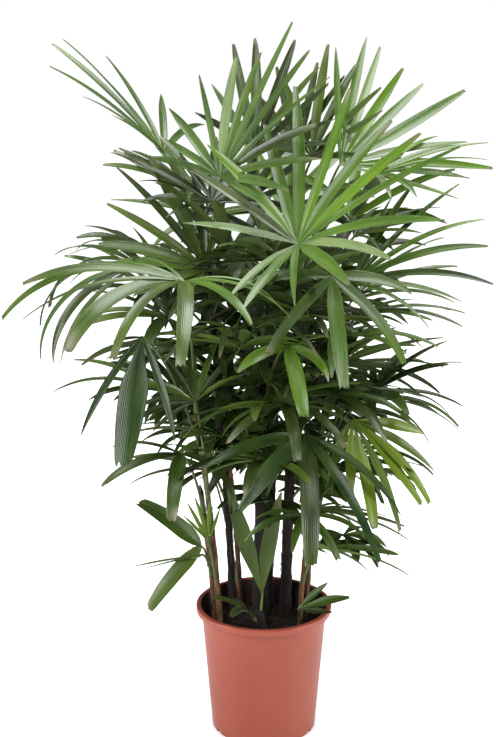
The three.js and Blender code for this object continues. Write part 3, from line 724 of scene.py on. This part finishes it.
# dense inside of the clump: more leaves by the same rule, in a spiral up each cane from the height
# named, longer and steeper towards the top
innerLeaf = {"count": 7, "spread": 215, "width": 26, "droop": 48, "cup": 12}
innerRule = {
    "canes": {"centre": 445, "left": 456, "right": 410, "back": 478, "back_left": 489, "right_low": 310},
    "below": 30, "step": 31, "low": 300, "height": 600, "turn": 137.5,
    "out": 78, "above": 60, "rise": (-12, 50), "reach": (105, 172),
    "uneven": {"out": 0.35, "rise": 18, "roll": 20, "reach": 0.2},
    # the deep and dark tones of the inside leaves are partly painted shade
    "tones": ["deep", "dark", "deep", "mid"],
}

blade = {
    "web": 0.11, "hubKeel": 5, "slim": 0.3, "short": 0.25, "steps": 24, "curl": 1.5,
    "root": 0.3, "widest": 0.32, "taperFrom": 0.5, "least": 1.5,
    "uneven": {"turn": 0.2, "length": 0.12, "droop": 0.4, "width": 0.18},
    "tip": {"outer": 0.1, "usual": 0.28, "hanging": 0.6}, "outerFrom": 0.6, "hangsBelow": -0.75,
    "room": {"part": 0.85, "web": 1.02, "free": 0.9},  # share of its room in the fan that it fills
    "twist": 32, "bow": 0.08, "ribWidths": (8, 15), "toneChances": (-0.1, -0.5, -0.8),
}
bladeRelief = {
    "Section Points": 16, "Thickness": 0.0007, "Fold": 0.5, "Flat Tip": 0.2, "Rib Height": 0.05,
    "Deepest Fold": 0.01,
}
torn = {"leaves": ["sucker_left"], "tip": 0.62}  # leaves whose outer leaflets end bluntly too
cutEnd = {"tooth": 0.22, "from": 0.9, "dryFrom": 0.98, "dryAbove": 0.8}
ageing = {"from": 0.86, "spread": 0.09, "most": 1.0, "least": 0.2, "rare": -0.1}
petiole = {
    "radius": 2.6, "lift": 0.22, "sheath": 0.2, "steps": 18,
    "flare": 0.9, "flareShare": 0.08, "top": 0.75,
    "tongue": ((6, 0.9), (12, 0.55), (17, 0.15)), "tongueDrop": 1.5,
}
# turn and droop that a leaflet may take, in the part's own order, its plain course first
leafChanges = [
    (0, 1), (0.15, 1), (-0.15, 1), (0, 1.2), (0, 0.8),
    (0.2, 1.25), (-0.2, 1.25), (0.2, 0.7), (-0.2, 0.7),
]
sameTip = 0.3  # a leaflet is the part's own when their tips are as near as this


def leafFrame(leaf):
    a, r, q = (math.radians(leaf[k]) for k in ("aim", "rise", "roll"))
    forward = Vector((math.cos(a) * math.cos(r), math.sin(a) * math.cos(r), math.sin(r)))
    lift = Vector((-math.cos(a) * math.sin(r), -math.sin(a) * math.sin(r), math.cos(r)))
    normal = lift * math.cos(q) + forward.cross(lift) * math.sin(q)
    leaf.update(forward=forward, normal=normal, side=forward.cross(normal))


def fanDirection(leaf, degrees):
    turn, cup = math.radians(degrees), math.radians(leaf["cup"])
    flat = leaf["forward"] * math.cos(turn) + leaf["side"] * math.sin(turn)
    return (flat * math.cos(cup) + leaf["normal"] * math.sin(cup)).normalized()


def widthShare(s, tip):
    opening = math.sin(min(1, s / blade["widest"]) * math.pi / 2)
    width = mix(blade["root"], 1, opening)
    past = max(0, s - blade["taperFrom"]) / (1 - blade["taperFrom"])
    return width * (1 - (1 - tip) * past ** 2)


def leafletSpine(leaf, i, change):
    steps, count = blade["steps"], leaf["count"]

    def uneven(key, channel):
        return blade["uneven"][key] * wobble(leaf["seed"], i, channel)

    offset = 2 * i / (count - 1) - 1
    pitch = leaf["spread"] / (count - 1)
    turn = uneven("turn", 1) + change[0]
    out = fanDirection(leaf, offset * leaf["spread"] / 2 + pitch * turn)
    face = (leaf["normal"] - out * leaf["normal"].dot(out)).normalized()
    across = out.cross(face)
    length = leaf["reach"] * (1 - blade["short"] * offset ** 2) * (1 + uneven("length", 2))
    fall = -up + out * out.z
    leverage = fall.length
    fall = fall / leverage
    axle = out.cross(fall)
    bend = math.radians(leaf["droop"]) * leverage * change[1] * (1 + uneven("droop", 3))
    full = leaf["width"] / 2 * (1 - leaf["slim"] * offset ** 2) * (1 + uneven("width", 4))
    hangs = math.cos(bend) * out.z + math.sin(bend) * fall.z < blade["hangsBelow"]
    tip = blade["tip"]["outer" if abs(offset) > blade["outerFrom"] else "hanging" if hangs else "usual"]
    place, stations = leaf["hub"].copy(), []
    for step in range(steps + 1):
        s = step / steps
        if step:
            lean = bend * ((step - 0.5) / steps) ** blade["curl"]
            place = place + (out * math.cos(lean) + fall * math.sin(lean)) * (length / steps)
        angle = bend * s ** blade["curl"]
        along = out * math.cos(angle) + fall * math.sin(angle)
        swung = fall * math.cos(angle) - out * math.sin(angle)
        sideways = swung * across.dot(fall) + axle * across.dot(axle)
        stations.append({
            "place": place, "along": along, "sideways": sideways, "normal": sideways.cross(along),
            "share": s})
    wedge = length * math.tan(math.radians(pitch) / 2)
    return {"stations": stations, "length": length, "full": full, "tip": tip, "wedge": wedge}


def halfWidth(spine, s, room):
    most = max(blade["least"], blade["room"][room] * s * spine["wedge"])
    return min(spine["full"] * widthShare(s, spine["tip"]), most)


def tipCorner(spine):
    # the vertex that the part's own leaflet has at its tip
    end = spine["stations"][-1]
    if spine["tip"] == blade["tip"]["outer"]:
        return end["place"]
    return end["place"] - end["sideways"] * halfWidth(spine, 1, "part")


def innerLeaves():
    rule, leaves = innerRule, []

    def uneven(key, channel):
        return rule["uneven"][key] * wobble(len(leaves), order, channel)

    for order, (name, at) in enumerate(rule["canes"].items()):
        cane = canes[name]
        while at < cane["top"][2] - rule["below"]:
            k = len(leaves)
            aim, share = rule["turn"] * k, (at - rule["low"]) / rule["height"]
            away = around(math.radians(aim), rule["out"] * (1 + uneven("out", 21)), rule["above"])
            leaves.append({
                **innerLeaf, "name": f"inner_{k}", "node": None, "cane": name, "at": at, "host": None,
                "hub": canePoint(cane, at) + away, "aim": aim,
                "rise": mix(*rule["rise"], share) + uneven("rise", 22), "roll": uneven("roll", 23),
                "reach": mix(*rule["reach"], share) * (1 + uneven("reach", 24)),
                "tone": rule["tones"][k % len(rule["tones"])]})
            at += rule["step"]
    return leaves


def backLeaves():
    rule, leaves = backRule, []
    for level, storey in enumerate(backStoreys):
        out, height = storey["out"], storey["height"]
        for i in range(storey["leaves"]):
            aim = storey["from"] + i * storey["step"]
            turn, name = math.radians(aim), f"back_{level + 1}_{i + 1}"
            cane = next(cane for cane, limit in rule["canes"].items() if aim < limit)
            at = min(height - rule["petioleDrop"], canes[cane]["top"][2] - rule["belowTop"])
            leaves.append({
                **storey, **backLeaf, "name": name, "node": "leaf_" + name, "cane": cane, "host": None,
                "hub": (out * math.cos(turn), rule["behind"] + out * math.sin(turn), height),
                "at": at - rule["stagger"] * i, "aim": aim, "roll": rule["roll"] * wobble(level, i, 5)})
    return leaves


def describeLeaves():
    keys = "hub aim rise roll count spread reach width droop cup tone slim".split()
    leaves = []
    for name, cane, at, *rest in leafRows:
        leaf = {"name": name, "node": "leaf_" + name, "cane": cane, "at": at, "host": None}
        leaves.append({**leaf, **dict(zip(keys, rest))})
    leaves += backLeaves()
    byName = {leaf["name"]: leaf for leaf in leaves}
    for hostName, *rest in guestRows:
        host = byName[hostName]
        leaf = {"name": f"guest_{len(leaves)}", "node": host["node"], "host": host}
        leaves.append({**leaf, **dict(zip(keys, rest))})
    leaves += innerLeaves()
    for seed, leaf in enumerate(leaves):
        leaf["seed"], leaf["hub"] = seed, Vector(leaf["hub"])
        leaf.setdefault("slim", blade["slim"])
        leafFrame(leaf)
    return leaves


def nodeTrees():
    # corners of each leaf node of the part, to look leaflet tips up in
    trees = {}
    for name, node in frame["nodes"].items():
        if name.startswith("leaf_"):
            tree = KDTree(len(node.data.vertices))
            for k, vertex in enumerate(node.data.vertices):
                tree.insert(vertex.co / mm, k)
            tree.balance()
            trees[name] = tree
    return trees


def growSpines(leaves):
    # each leaflet the way the part has it; one that the part left out keeps its plain course
    trees = nodeTrees()
    found = lost = 0
    for leaf in leaves:
        leaf["spines"] = [leafletSpine(leaf, i, leafChanges[0]) for i in range(leaf["count"])]
        if leaf["node"] is None:
            continue
        for i in range(leaf["count"]):
            for change in leafChanges:
                spine = leafletSpine(leaf, i, change)
                if trees[leaf["node"]].find(tipCorner(spine))[2] < sameTip:
                    leaf["spines"][i] = spine
                    found += 1
                    break
            else:
                lost += 1
    print("leaflets", found, "as in the part,", lost, "more")


# deep and dark are partly the leaves' own dark green and partly painted shade, for leaves inside the
# clump and in its shade
leafTones = {
    "deep": rgb(22, 33, 12), "dark": rgb(38, 55, 19), "mid": rgb(61, 88, 30), "fresh": rgb(66, 100, 28),
    "bright": rgb(84, 122, 16), "soft": rgb(71, 91, 42), "grey": rgb(72, 100, 49),
    "glossy": rgb(24, 56, 20), "young": rgb(104, 128, 26), "olive": rgb(78, 100, 34),
    # pale is a painted sheen: leaflets coloured grey white where real ones shine
    "pale": rgb(116, 134, 92), "moss": rgb(58, 77, 24),
}
# roughness, shine and clear coat of the leaves
finishes = {
    "usual": (0.28, 0.5, 0.2), "glossy": (0.25, 0.36, 0.14), "deep": (0.25, 0.36, 0.14),
    "moss": (0.5, 0.25, 0.0), "under": (0.5, 0.2, 0.0),
}
# what the leaflets of a leaf turn to, from the commonest to the rarest
neighbours = {
    "deep": ("dark", "deep", "mid"), "dark": ("mid", "deep", "olive"), "mid": ("dark", "olive", "fresh"),
    "fresh": ("bright", "dark", "pale"), "bright": ("fresh", "olive", "young"),
    "soft": ("fresh", "mid", "pale"), "grey": ("mid", "dark", "pale"),
    "glossy": ("dark", "glossy", "glossy"), "young": ("bright", "olive", "young"),
    "olive": ("mid", "young", "olive"), "pale": ("grey", "soft", "pale"),
    "moss": ("moss", "moss", "olive"),
}
leafGrain = {
    "lighter": rgb(150, 176, 84), "lift": 0.16, "darken": 0.25, "blotches": (7, 2),
    "streaks": (18, 0.9, 1), "shades": (0.84, 1.1), "ribs": 11.0,
    "faded": rgb(110, 108, 78), "fade": 0.7, "ragged": 1.2, "ageBand": (0.02, 0.45),
    "coatRoughness": 0.2, "roughBand": (-0.06, 0.1), "raised": {"shiny": 0.3, "matt": 0.1},
    "mattFrom": 0.4, "height": 0.0006,
}
underside = {"pale": rgb(100, 126, 66), "share": 0.16}


def leafMaterial(name, colour, roughness, gloss, coat):
    grain = leafGrain
    material, tree, shader = newMaterial(name, colour, roughness, **{
        "Specular IOR Level": gloss, "Coat Weight": coat, "Coat Roughness": grain["coatRoughness"]})
    place = addNode(tree, "ShaderNodeTexCoord")
    darker = mixColours(colour, (0, 0, 0, 1), grain["darken"])
    lighter = mixColours(colour, grain["lighter"], grain["lift"])
    blotches, _ = colourNoise(tree, place.outputs["Object"], *grain["blotches"], darker, lighter)
    # streaks and ribs that run the length of the leaflet: UV is real size, 10 to the metre
    lengthwise = {"Vector": place.outputs["UV"], "Scale": grain["streaks"]}
    along = addNode(tree, "ShaderNodeMapping", lengthwise)
    noise = {"Vector": along, "Scale": 1.0, "Detail": 3.0}
    streak = addNode(tree, "ShaderNodeTexNoise", noise).outputs["Fac"]
    waves = {"Vector": place.outputs["UV"], "Scale": grain["ribs"], "Distortion": 0.15, "Detail": 1.0}
    ribs = addNode(tree, "ShaderNodeTexWave", waves, bands_direction="X").outputs["Fac"]
    shade = remap(tree, streak, 0.35, 0.65, *grain["shades"])
    lined = calcVector(tree, "SCALE", blotches, scale=shade)
    old = addNode(tree, "ShaderNodeAttribute", attribute_name="age").outputs["Fac"]
    ragged = calc(tree, "MULTIPLY_ADD", calc(tree, "SUBTRACT", streak, 0.5), grain["ragged"], old)
    aged = remap(tree, calc(tree, "MULTIPLY", ragged, old), *grain["ageBand"])
    faded = mixColours(colour, grain["faded"], grain["fade"])
    tree.links.new(mixNode(tree, aged, lined, faded), shader.inputs["Base Color"])
    smooth, rough = (roughness + change for change in grain["roughBand"])
    tree.links.new(remap(tree, streak, 0.3, 0.7, smooth, rough), shader.inputs["Roughness"])
    raised = grain["raised"]["shiny" if roughness < grain["mattFrom"] else "matt"]
    bump(tree, shader, calc(tree, "ADD", ribs, streak), raised, grain["height"])
    return material


def bladeMaterials():
    uppers, unders = [], []
    for name, colour in leafTones.items():
        finish = finishes.get(name, finishes["usual"])
        paler = mixColours(colour, underside["pale"], underside["share"])
        uppers.append(leafMaterial("leaf" + name.capitalize(), colour, *finish))
        unders.append(leafMaterial("under" + name.capitalize(), paler, *finishes["under"]))
    return uppers, unders, mottledMaterial("dryTip")


def leafletTree(uppers, unders, dry):
    tree, inputs, output = newTree("leafletSweep", bladeRelief)

    def times(a, b):
        return calc(tree, "MULTIPLY", a, b)

    def along(name, size):
        return calcVector(tree, "SCALE", readAttribute(tree, name, "FLOAT_VECTOR"), scale=size)

    line = addNode(tree, "GeometryNodeMeshToCurve", {"Mesh": inputs["Geometry"]})
    ring = addNode(tree, "GeometryNodeCurvePrimitiveCircle", {
        "Resolution": inputs["Section Points"], "Radius": 0.001})
    factor = addNode(tree, "GeometryNodeSplineParameter").outputs["Factor"]
    marked = addNode(tree, "GeometryNodeStoreNamedAttribute", {
        "Geometry": ring, "Name": "turn", "Value": times(factor, math.tau)},
        data_type="FLOAT", domain="POINT")
    swept = addNode(tree, "GeometryNodeCurveToMesh", {
        "Curve": line, "Profile Curve": marked, "Fill Caps": True})
    turn = readAttribute(tree, "turn")
    across, lens = calc(tree, "COSINE", turn), calc(tree, "SINE", turn)
    names = ("half", "share", "metres", "ribs", "phase", "tooth", "tone", "dryFrom")
    half, share, metres, ribs, phase, tooth, tone, dryFrom = (readAttribute(tree, name) for name in names)
    # keel in the middle that flattens out towards the tip, and ribs beside it
    depth = remap(tree, share, 0, 1, inputs["Fold"], inputs["Flat Tip"])
    keel = times(depth, calc(tree, "SUBTRACT", calc(tree, "ABSOLUTE", across), 0.5))
    ribTurn, fromEdge = times(ribs, math.pi), calc(tree, "ADD", across, 1.0)
    rib = times(inputs["Rib Height"], calc(tree, "COSINE", times(ribTurn, fromEdge)))
    folded = times(calc(tree, "MINIMUM", half, inputs["Deepest Fold"]), keel)
    relief = calc(tree, "ADD", folded, times(half, rib))
    lift = calc(tree, "MULTIPLY_ADD", times(inputs["Thickness"], 0.5), lens, relief)
    # the cut end is torn into teeth, one to a rib
    near = remap(tree, share, cutEnd["from"], 1.0)
    toothTurn = calc(tree, "MULTIPLY_ADD", ribTurn, fromEdge, phase)
    dip = times(calc(tree, "SUBTRACT", calc(tree, "COSINE", toothTurn), 1.0), tooth)
    pull = times(dip, calc(tree, "POWER", near, 2.0))
    place = readAttribute(tree, "spine", "FLOAT_VECTOR")
    for name, size in (("sideways", times(across, half)), ("normal", lift), ("along", pull)):
        place = calcVector(tree, "ADD", place, along(name, size))
    shaped = addNode(tree, "GeometryNodeSetPosition", {"Geometry": swept, "Position": place})
    real = addNode(tree, "GeometryNodeRealizeInstances", {"Geometry": shaped})
    smooth = addNode(tree, "GeometryNodeSetShadeSmooth", {"Geometry": real})
    flat = addNode(tree, "ShaderNodeCombineXYZ", {
        "X": times(times(across, half), 10.0), "Y": times(metres, 10.0)})
    painted = addNode(tree, "GeometryNodeStoreNamedAttribute", {
        "Geometry": smooth, "Name": "UVMap", "Value": flat}, data_type="FLOAT2", domain="CORNER")
    below = calc(tree, "LESS_THAN", lens, 0.0)
    above = calc(tree, "SUBTRACT", 1.0, below)
    isDry = calc(tree, "GREATER_THAN", share, dryFrom)
    paints = []
    for k, (upper, under) in enumerate(zip(uppers, unders)):
        same = calc(tree, "COMPARE", tone, float(k), 0.4)
        paints += [(upper, times(same, above)), (under, times(same, below))]
    for material, selection in (*paints, (dry, isDry)):
        painted = addNode(tree, "GeometryNodeSetMaterial", {
            "Geometry": painted, "Selection": selection, "Material": material})
    tree.links.new(painted.outputs[0], output[0])
    return tree


def leafletLine(leaf, i, spine):
    def chance(channel):
        return wobble(leaf["seed"], i, channel)

    if leaf["name"] in torn["leaves"]:
        spine = {**spine, "tip": torn["tip"]}
    cut = spine["tip"] != blade["tip"]["outer"]
    twist = math.radians(blade["twist"]) * chance(6)
    bow = blade["bow"] * spine["length"] * chance(7)
    ribs = 1 + sum(spine["full"] > width for width in blade["ribWidths"])
    tones = (leaf["tone"], *neighbours[leaf["tone"]])
    tone = tones[sum(chance(8) < limit for limit in blade["toneChances"])]
    # the last part of most leaflets has turned grey brown
    ageFrom = ageing["from"] + ageing["spread"] * chance(16)
    aged = ageing["most" if chance(17) > ageing["rare"] and leaf["tone"] != "glossy" else "least"]
    whole = {
        "ribs": float(ribs), "tone": float(list(leafTones).index(tone)), "phase": math.pi * chance(10),
        "tooth": (cutEnd["tooth"] * spine["full"] if cut else 0) * mm,
        "dryFrom": cutEnd["dryFrom"] if cut and chance(9) > cutEnd["dryAbove"] else 2.0,
    }
    line = []
    for station in spine["stations"]:
        s = station["share"]
        swing = Matrix.Rotation(twist * s, 3, station["along"])
        place = station["place"] + station["sideways"] * bow * s * s
        half = halfWidth(spine, s, "web" if s < blade["web"] else "free")
        line.append({
            **whole, "place": place, "spine": place * mm, "sideways": swing @ station["sideways"],
            "normal": swing @ station["normal"], "along": station["along"], "half": half * mm,
            "share": s, "metres": s * spine["length"] * mm,
            "age": aged * max(0, s - ageFrom) / (1 - ageFrom)})
    return line


def petioleCurve(leaf):
    if leaf["host"]:
        start = petiolePoint(petioleCurve(leaf["host"]), petiole["sheath"])
    else:
        start = canePoint(canes[leaf["cane"]], leaf["at"])
    end = leaf["hub"] - leaf["normal"] * blade["hubKeel"] / 3
    bow = (start + end) / 2 + up * petiole["lift"] * (end - start).length
    return start, bow, end


def petiolePoint(curve, s):
    start, bow, end = curve
    return start * (1 - s) ** 2 + bow * 2 * s * (1 - s) + end * s * s


def petioleLine(leaf):
    curve = petioleCurve(leaf)
    line = []
    for k in range(petiole["steps"] + 1):
        s = k / petiole["steps"]
        flare = 1 + petiole["flare"] * math.exp(-s / petiole["flareShare"])
        radius = petiole["radius"] * flare * mix(1, petiole["top"], s)
        line.append({"place": petiolePoint(curve, s), "radius": radius * mm})
    # a short tongue under the blade, where the leaflets meet
    for reach, share in petiole["tongue"]:
        place = leaf["hub"] + leaf["forward"] * reach - leaf["normal"] * petiole["tongueDrop"]
        line.append({"place": place, "radius": petiole["radius"] * share * mm})
    return line


leafPieces = {
    "leaves_top": "front_fan top_centre top_right top_left top_back left_upper",
    "leaves_left": "left_arch left_broad far_left mid_left low_left left_dark sucker_left sucker_young",
    "leaves_right": "right_up right_low right_dark right_mid pale_right hanger low_right low_right_back",
    "leaves_inner": (
        "inner_upper inner_front inner_left inner_right front_stub front_broad vee pale_fan pot_side "
        "pot_front"),
    "leaves_back": " ".join(
        f"back_{level + 1}_{i + 1}" for level, storey in enumerate(backStoreys)
        for i in range(storey["leaves"])),
}


def makeBlades(name, lines, tree, relief):
    piece = grow(name, linesMesh(name, lines), tree, relief, ("age",))
    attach(piece, "root")
    return piece


def makeLeaves():
    leaves = describeLeaves()
    growSpines(leaves)
    tree = leafletTree(*bladeMaterials())
    inner = []
    for leaf in leaves:
        leaf["lines"] = [leafletLine(leaf, i, spine) for i, spine in enumerate(leaf["spines"])]
        if leaf["node"] is None:
            inner += [line[::2] for line in leaf["lines"]]
    makeBlades("leaves_inside", inner, tree, {**bladeRelief, "Section Points": 12})
    for name, members in leafPieces.items():
        nodes = ["leaf_" + member for member in members.split()]
        lines = [line for leaf in leaves if leaf["node"] in nodes for line in leaf["lines"]]
        piece = makeBlades(name, lines, tree, bladeRelief)
        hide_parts(*nodes)
    tree = tubeTree("petioleTube", mottledMaterial("petioleGreen"))
    lines = [petioleLine(leaf) for leaf in leaves]
    stalks = grow("petioles", linesMesh("petioles", lines), tree, {"Sides": 8})
    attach(stalks, "root")


makeLeaves()
